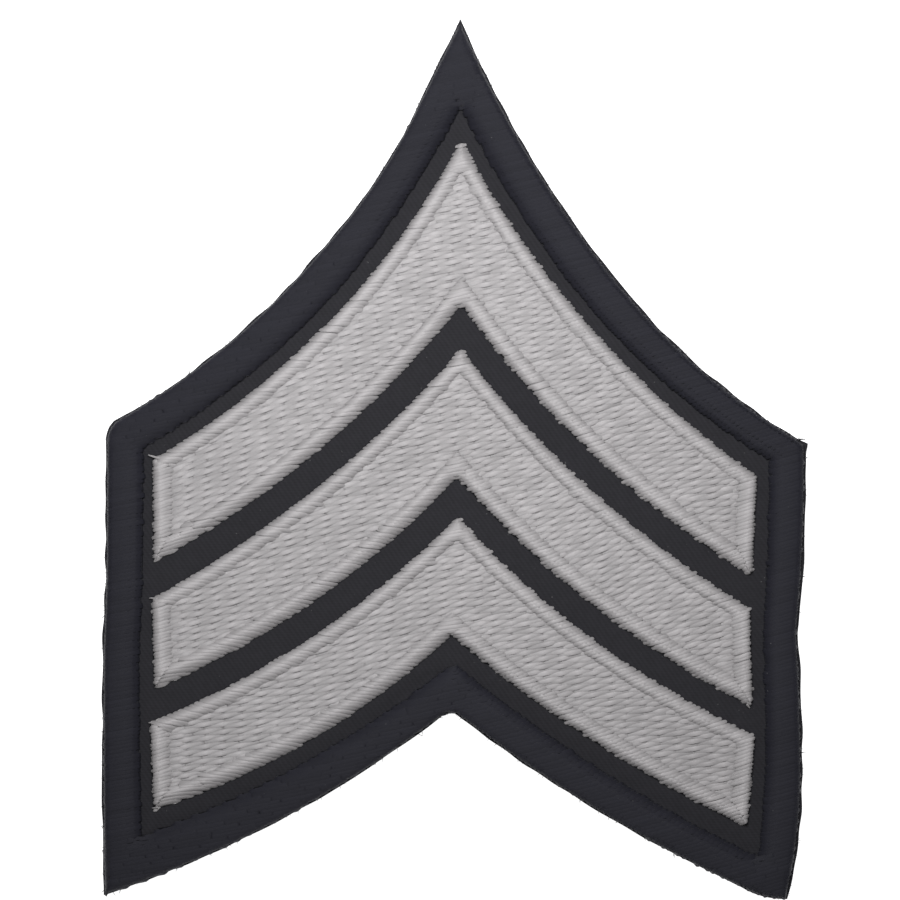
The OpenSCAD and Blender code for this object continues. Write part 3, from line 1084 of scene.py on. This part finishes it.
def frayed_part(edge, rng):
    """Frayed fibres that stand out of the cut edge, which goes round clockwise."""
    way = np.roll(edge, -1, axis=0) - np.roll(edge, 1, axis=0)
    outward = np.arctan2(-way[:, 0], way[:, 1]) + np.pi
    pick = rng.integers(0, len(edge), FRAYED)
    starts = np.column_stack([edge[pick], rng.uniform(*FRAYED_HEIGHTS, FRAYED)])
    angles = outward[pick] + rng.normal(0, FRAYED_TURN, FRAYED)
    lengths = rng.uniform(*FRAYED_LENGTHS, FRAYED)
    rises, bends = rng.normal(0, FRAYED_RISE, FRAYED), rng.normal(0, FRAYED_BEND, FRAYED)
    return fibres_part(starts, angles, lengths, rises, bends, rng.uniform(*FRAYED_RADII, FRAYED))


def ground_cloth():
    """The twill with its wavy cut edge and frayed fibres, laid flat on the floor."""
    rng = np.random.default_rng(CLOTH_SEED)
    edge, out = drawn_edge()
    angle = np.linspace(0, 2 * np.pi, len(edge), endpoint=False)
    phases = rng.random(len(EDGE_WAVES)) * 2 * np.pi
    waves = np.sin(np.outer(angle, EDGE_WAVES) + phases) / len(EDGE_WAVES) ** 0.5
    part = cloth_part(edge, EDGE_WOBBLE * waves.sum(axis=1) + out)
    parts = [part, frayed_part(edge, rng)]
    piece = make_piece("ground_twill", parts, ground_twill, "ground_cloth")


# The border and the edgings: a band of satin stitches over a domed padding

BASE_BELOW = 0.04  # how far the padding lies below the middle of the stitches
BASE_IN = 0.12  # how far it stays inside the band's two sides
BASE_LOWEST = 0.05  # least height of its top over the cloth
BASE_STATIONS = 9

BORDER_ANGLES = [[-40, 10], [-20, 11], [0, 13], [20, 14], [40, 16]]
BORDER_FRAY = 0.03
TIP_REACH = 4.0  # how far down from its tip a band is made blunt
NEAR_SIDE = 0.1  # how near to a side of its band a stitch that ends there comes
MOST_STRAY = 2.2  # how many times its fray an end may stray

# Angles of the edging's rows, as x and angle: over the fields and round the right end, under the
# fields, and at the left end
OVER_ANGLES = {
    "top_chevron": [[-35, -3], [-8, -2], [4, 15], [35, 17]],
    "middle_chevron": [[-35, -8], [-8, -6], [4, 16], [35, 19]],
    "bottom_chevron": [[-35, -13], [-8, -9], [4, 16], [35, 18]],
}
UNDER_ANGLES = {
    "top_chevron": [[-35, 22], [-28, 8], [-8, 4], [3, 16], [35, 19]],
    "middle_chevron": [[-35, 18], [-27, -9], [-8, -10], [3, 16], [35, 19]],
    "bottom_chevron": [[-35, 18], [-27, -9], [-8, -8], [3, 14], [35, 18]],
}
LEFT_END_ANGLES = [[-35, 16], [35, 16]]

# Sizes of the stitches. An end dives at its band's outer side, at its inner side, or where a run
# is cut. Jitters and the inner stray are widths of a normal spread
SATIN_STITCH = {
    "shortest_run": 0.4, "overlap": 0.0, "tip_tall": 0.03, "cut_dive": 0.03,
    "rise": 0.0, "rise_length": 1.0, "full_length": 1.0, "arch_of_middle": 0.0,
}
BORDER_STITCH = {
    **SATIN_STITCH, "stations": BORDER_STATIONS, "spacing": 0.44, "longest": 6.5, "blunt": 0.4,
    "half": 0.33, "tip_half": 0.24, "tall": 0.05, "tip_length": 0.3, "skew": (0.85, 0.5),
    "dive": 0.18, "inner_dive": 0.34, "inner_stray": 0.08, "cut_overlap": 0.15,
    "row_jitter": 0.02, "end_jitter": 0.05, "lift_jitter": 0.015, "size_jitter": 0.10,
    "wander": 0.05, "tilt": 0.05,
}
EDGING_STITCH = {
    **SATIN_STITCH, "stations": EDGING_STATIONS, "spacing": 0.42, "longest": 5.2, "blunt": 0.8,
    "half": 0.285, "tip_half": 0.10, "tall": 0.082, "tip_length": 0.55, "skew": (0.85, 0.3),
    "dive": 0.07, "inner_dive": 0.07, "inner_stray": 0.22, "cut_overlap": 0.10,
    "row_jitter": 0.035, "end_jitter": 0.03, "lift_jitter": 0.03, "size_jitter": 0.16,
    "wander": 0.10, "tilt": 0.14,
}

# Loose thread ends: x, y, height over the cloth, angle, length, rise, bend, radius
LOOSE_THREADS = {
    "border": [
        [39.7, -13.3, 0.3, -30, 0.9, 0.2, 0.2, 0.09],
        [39.9, 2.3, 0.2, 8, 0.8, -0.1, -0.1, 0.10],
        [-39.9, -24.3, 0.3, 190, 0.6, 0.1, 0.2, 0.06],
    ],
    "top_chevron": [
        [16.9, 17.6, 0.3, 28, 1.0, 0.15, 0.15, 0.07],
        [-33.9, 0.1, 0.5, 168, 1.5, -0.35, -0.1, 0.17],
    ],
    "middle_chevron": [
        [-34.2, -16.1, 0.5, 172, 1.0, -0.35, 0.1, 0.13],
        [33.9, -28.3, 0.4, -62, 0.6, -0.3, 0.1, 0.14],
    ],
    "bottom_chevron": [
        [-34.4, -30.6, 0.4, 165, 0.9, -0.3, 0.1, 0.13],
        [-34.2, -40.2, 0.4, 200, 0.7, -0.3, -0.1, 0.12],
    ],
}


def stray_threads(table):
    """Loose thread ends from a table of them."""
    x, y, up, angle, length, rise, bend, radius = np.array(table).T
    starts = np.column_stack([x, y, CLOTH_TOP + up])
    return fibres_part(starts, np.radians(angle), length, rise, bend, radius)


def strip_of(outer, inner, starts, first, last):
    """Outline of a band's part along its edges from the first to the last, cut across at both ends."""
    steps = (starts[(last + 1) % len(starts)] - starts[first]) % len(outer)
    pick = (starts[first] + np.arange(steps + 1)) % len(outer)
    return np.concatenate([outer[pick], inner[pick][::-1]])


def satin_part(loops, band, angles, stitch, base, rng):
    """Satin stitches along the rows inside the loops, which are a band or a strip of it.

    Ends on the band's outer side stray by its fray there, and ends on its inner side stray
    further in. A run across the tip at the loop's start grows from c to sqrt(c^2 + blunt^2). Ends
    on the outer side, on the inner side and inside dive by their own amounts.
    """
    outer, inner = band["outer"], band["inner"]
    rows = Rows(angles, stitch["spacing"], stitch["shortest_run"])
    runs = rows.runs(loops)

    def near(loop, x, v):
        far, step, _ = distance_to(np.stack([x, v + rows.climb(x)], axis=1), loop)
        return far < NEAR_SIDE, step

    first, last, v = runs[:3]
    length = last - first
    middle = (first + last) / 2
    to_tip = np.hypot(middle - outer[0, 0], v + rows.climb(middle) - outer[0, 1])
    at_tip = near(outer, first, v)[0] & near(outer, last, v)[0] & (to_tip < TIP_REACH)
    growth = at_tip * (np.sqrt(length**2 + stitch["blunt"] ** 2) - length) / 2
    runs = [first - growth, last + growth, *runs[2:]]
    a, b, v, lean_a, lean_b = satin_stitches(runs, stitch["longest"], rng)
    moved, dives = [], []
    for x in (a, b):
        on_outer, step = near(outer, x, v)
        on_inner = near(inner, x, v)[0]
        stray = np.clip(rng.normal(0, 1, len(x)), -MOST_STRAY, MOST_STRAY)
        stray = on_outer * stray * band["frays"][step]
        stray = stray + on_inner * np.abs(rng.normal(0, stitch["inner_stray"], len(x)))
        moved.append(stray + np.where(on_outer | on_inner, 0.0, stitch["cut_overlap"]))
        dive = np.where(on_inner, stitch["inner_dive"], stitch["cut_dive"])
        dives.append(np.where(on_outer, stitch["dive"], dive))
    stitches = (a - moved[0], b + moved[1], v, lean_a, lean_b, *dives)
    return strand_part(stitches, rows, base, stitch, rng)


def band_piece(name, node, material, band, families, stitch, seed, loose):
    """Satin stitches over a ring of padding, whose section is the band's profile, lowered.

    Each family is a list of loops and the angles of the rows inside them.
    """
    rng = np.random.default_rng(seed)
    outer, inner = band["outer"], band["inner"]
    low, high = CLOTH_TOP + band["lip"] - stitch["tip_tall"], band["top"] - stitch["tall"]

    def base(points):
        return band_height(points, outer, inner, band["profile"], band["crests"], low, high)

    strands = [satin_part(loops, band, angles, stitch, base, rng) for loops, angles in families]
    across = inner - outer
    width = np.linalg.norm(across, axis=1)
    inset = (BASE_IN * width / width.min() ** 2)[:, None]
    at = inset + (1 - 2 * inset) * np.linspace(0, 1, BASE_STATIONS)
    xy = outer[:, None, :] + across[:, None, :] * at[..., None]
    upper = np.maximum(base(xy.reshape(-1, 2))[0] - BASE_BELOW, CLOTH_TOP + BASE_LOWEST)
    face = np.concatenate([xy, upper.reshape(*at.shape, 1)], axis=2)
    floor = np.concatenate([xy[:, [-1, 0]], np.full((len(outer), 2, 1), CLOTH_TOP)], axis=2)
    ring = swept_part(np.concatenate([face, floor], axis=1), closed=True)
    make_piece(name, [*strands, ring, stray_threads(loose)], material, node)


def chevron_edging(name, corners, seed):
    """One chevron's edging, in three strips of rows: over its field and round its right end,
    under its field, and across its left end.

    A strip is given by the numbers of its first and last edge, counted from the tip, and its angles.
    """
    table = placed(corners)
    steps = steps_of(table)
    outer, inner = loop_of(table, steps), loop_of(moved_in(table, EDGING_WIDTHS), steps)
    starts = np.cumsum([0, *steps[:-1]])
    strips = [(5, 1, OVER_ANGLES[name]), (2, 3, UNDER_ANGLES[name]), (4, 4, LEFT_END_ANGLES)]
    families = [
        ([strip_of(outer, inner, starts, first, last)], angles) for first, last, angles in strips
    ]
    band = {
        "outer": outer, "inner": inner, "profile": EDGING_PROFILE, "lip": EDGING_LIP,
        "top": EDGING_TOP, "crests": np.repeat(EDGING_CRESTS, steps),
        "frays": np.repeat(EDGING_FRAYS, steps),
    }
    band_piece(
        name + "_edging_stitches", name + "_edging", silver_thread,
        band, families, EDGING_STITCH, seed, LOOSE_THREADS[name],
    )


def border():
    """The border: one ring of satin rows, all round the cut edge."""
    table = placed(OUTER)
    steps = steps_of(table)
    outer = loop_of(moved_in(table, [BORDER_MARGIN] * len(table)), steps)
    inner = loop_of(moved_in(placed(INNER), [BORDER_SPREAD] * len(table)), steps)
    band = {
        "outer": outer, "inner": inner, "profile": BORDER_PROFILE, "lip": BORDER_LIP,
        "top": BORDER_TOP, "crests": np.full(len(outer), BORDER_CREST),
        "frays": np.full(len(outer), BORDER_FRAY),
    }
    band_piece(
        "border_stitches", "border", black_thread,
        band, [([outer, inner], BORDER_ANGLES)], BORDER_STITCH, BORDER_SEED,
        LOOSE_THREADS["border"],
    )


# The fields: rows of filling stitches in brick order over a flat bed

FIELD_UNDER = 0.25  # how far a field reaches under the edging round it
FIELD_STITCH = {
    "stations": FIELD_STATIONS, "spacing": 0.422, "length": 4.13, "shortest": 0.7,
    "shortest_run": 0.3, "column_jitter": 0.24, "lean": 0.08, "overlap": 0.12,
    "half": 0.32, "tip_half": 0.25, "tall": 0.07, "tip_tall": 0.06, "tip_length": 0.8,
    "skew": (0.0, 0.0), "dive": 0.03, "rise": 0.08, "rise_length": 0.70, "full_length": 3.0,
    "arch_of_middle": 1.0, "row_jitter": 0.03, "end_jitter": 0.05, "lift_jitter": 0.03,
    "size_jitter": 0.10, "wander": 0.08, "tilt": 0.10,
}
BED_PROFILE = np.array(
    [[0, 0], [0, 0.4], [0.06, 0.9], [0.2, 1], [0.5, 1], [0.8, 1], [0.94, 0.9], [1, 0.4], [1, 0]]
)
BED_STEPS = 60  # along each arm
BED_BELOW = 0.04  # how far the bed lies below the stitches
BED_UNDER = 0.02  # how far its underside lies over the cloth

# Angles of the rows in each chevron, as x and angle
FIELD_ANGLES = {
    "top_chevron": [[-34, 21], [-22, 20], [-8, 14], [4, 12], [14, 18], [28, 16], [35, 14]],
    "middle_chevron": [[-34, 17], [-20, 19], [-6, 15], [6, 15], [14, 22], [28, 19], [35, 15]],
    "bottom_chevron": [[-34, 10], [-22, 14], [-10, 21], [4, 14], [16, 13], [28, 9], [35, 12]],
}


def chevron_field(name, corners, seed):
    """Brick-wise rows inside the edging, on a bed whose section is carried from end to end."""
    rng = np.random.default_rng(seed)
    inside = moved_in(placed(corners), [width - FIELD_UNDER for width in EDGING_WIDTHS])
    stitch = FIELD_STITCH
    rows = Rows(FIELD_ANGLES[name], stitch["spacing"], stitch["shortest_run"])
    a, b, v = field_stitches(rows.runs([loop_of(inside, steps_of(inside))]), stitch, rng)
    flat, dive = np.zeros(len(a)), np.full(len(a), stitch["dive"])
    top = FILL_TOP - stitch["tall"] - stitch["rise"]

    def base(points):
        return np.full(len(points), top), np.zeros(len(points))

    strands = strand_part((a, b, v, flat, flat, dive, dive), rows, base, stitch, rng)

    def side(*table):
        arcs = [bowed_edge(c[:2], d[:2], c[2], BED_STEPS) for c, d in zip(table, table[1:])]
        return np.concatenate([*arcs, [table[-1][:2]]])

    tip, right, right_low, crotch, left_low, left = inside
    upper, lower = side(left, tip, right), side(right_low, crotch, left_low)[::-1]
    bottom = CLOTH_TOP + BED_UNDER
    z = bottom + (top - BED_BELOW - bottom) * BED_PROFILE[:, 1]
    xy = lower[:, None, :] + (upper - lower)[:, None, :] * BED_PROFILE[None, :, 0, None]
    grid = np.concatenate([xy, np.broadcast_to(z[None, :, None], (*xy.shape[:2], 1))], axis=2)
    bed = swept_part(grid, closed=False)
    make_piece(
        name + "_field_stitches", [strands, bed], silver_thread, name + "_fill"
    )


ground_cloth()
border()
for order, (chevron, corners) in enumerate(CHEVRONS.items()):
    chevron_edging(chevron, corners, EDGING_SEED + order)
    chevron_field(chevron, corners, FIELD_SEED + order)


# Floor and light

FLOOR_SIZE = 3.0  # metres, as are the lamp's place, target and size
FLOOR_COLOUR = (0.86, 0.86, 0.86)
FLOOR_ROUGHNESS = 0.9
FLOOR_GLOW = 1.0  # keeps the floor plain white
LAMP_PLACE = (-0.004, 0.055, 0.138)  # above the patch's point
LAMP_TARGET = (0.0, 0.010, 0.0)
LAMP_SIZE = (0.08, 0.06)
LAMP_POWER = 0.192
WORLD_LIGHT = 0.21

floor_material = bpy.data.materials.new("Pale floor")
floor_material.use_nodes = True
floor_surface = floor_material.node_tree.nodes["Principled BSDF"]
floor_surface.inputs["Base Color"].default_value = (*FLOOR_COLOUR, 1.0)
floor_surface.inputs["Roughness"].default_value = FLOOR_ROUGHNESS
floor_surface.inputs["Emission Color"].default_value = (1.0, 1.0, 1.0, 1.0)
floor_surface.inputs["Emission Strength"].default_value = FLOOR_GLOW
half = FLOOR_SIZE / 2
floor_mesh = bpy.data.meshes.new("floor")
floor_mesh.from_pydata(
    [(-half, -half, 0), (half, -half, 0), (half, half, 0), (-half, half, 0)], [], [(0, 1, 2, 3)]
)
floor_mesh.materials.append(floor_material)
floor = bpy.data.objects.new("floor", floor_mesh)
bpy.context.scene.collection.objects.link(floor)


def area_light(name, place, target, size, power):
    """A rectangular lamp at a place, in metres, that faces its target."""
    data = bpy.data.lights.new(name, "AREA")
    data.shape = "RECTANGLE"
    data.size, data.size_y = size
    data.energy = power
    lamp = bpy.data.objects.new(name, data)
    lamp.location = place
    from_target = np.array(place) - np.array(target)
    distance = np.linalg.norm(from_target)
    tilt = math.acos(from_target[2] / distance)
    turn = math.atan2(from_target[0], -from_target[1])
    lamp.rotation_euler = (tilt, 0.0, turn)
    bpy.context.scene.collection.objects.link(lamp)


area_light("main_lamp", LAMP_PLACE, LAMP_TARGET, LAMP_SIZE, LAMP_POWER)
world = bpy.data.worlds.new("studio")
world.use_nodes = True
background = world.node_tree.nodes["Background"]
background.inputs["Color"].default_value = (1.0, 1.0, 1.0, 1.0)
background.inputs["Strength"].default_value = WORLD_LIGHT
bpy.context.scene.world = world
bpy.context.scene.view_settings.view_transform = "Standard"
